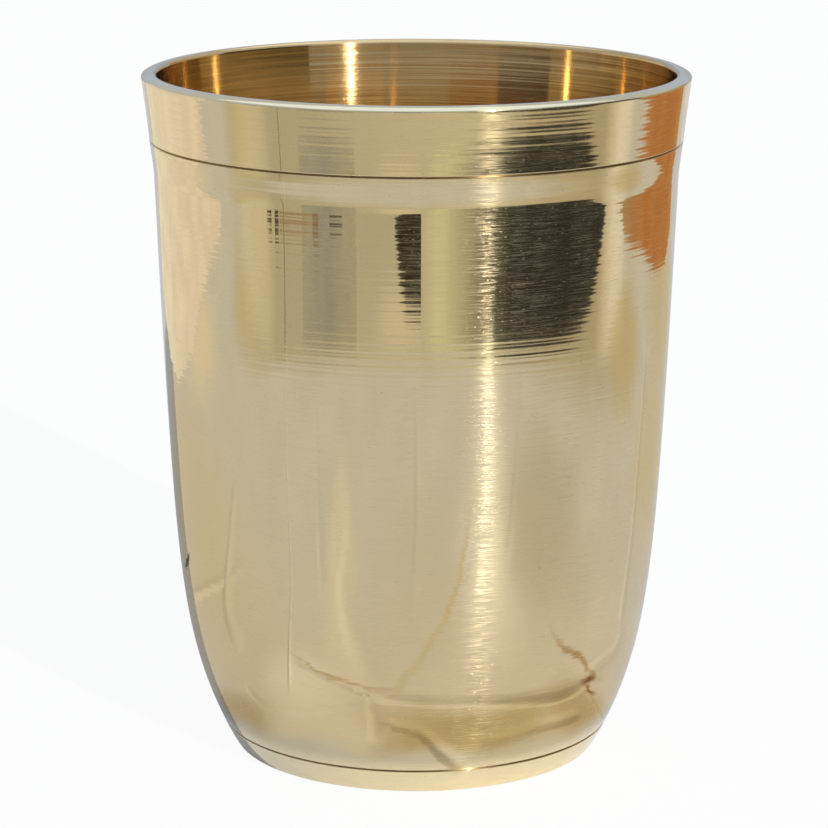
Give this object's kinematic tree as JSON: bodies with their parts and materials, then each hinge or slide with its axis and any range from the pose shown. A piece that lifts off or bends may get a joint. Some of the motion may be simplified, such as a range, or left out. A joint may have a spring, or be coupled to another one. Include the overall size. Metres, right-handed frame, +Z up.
{
  "type": "brass tumbler",
  "caption": "Heavy turned brass drinking tumbler: thick domed lip over a flared band, slightly tapering wall, curved-in lower body and a brazed-in flat base.",
  "frame": {"origin": "on the tumbler's axis, at the level of the flat foot it stands on", "axes": "+Z up along the axis of the tumbler, from the foot to the mouth; X and Y are alike"},
  "size_m": [0.08, 0.08, 0.1011],
  "materials": {
    "body_brass": "polished, with fine turning lines round the axis",
    "base_brass": "polished, turned",
    "braze_filler": "dull, slightly porous filler turned back inside the surface"
  },
  "bodies": {
    "root": {"body": "body_brass", "base": "base_brass", "braze_ring": "braze_filler"}
  },
  "joints": []
}
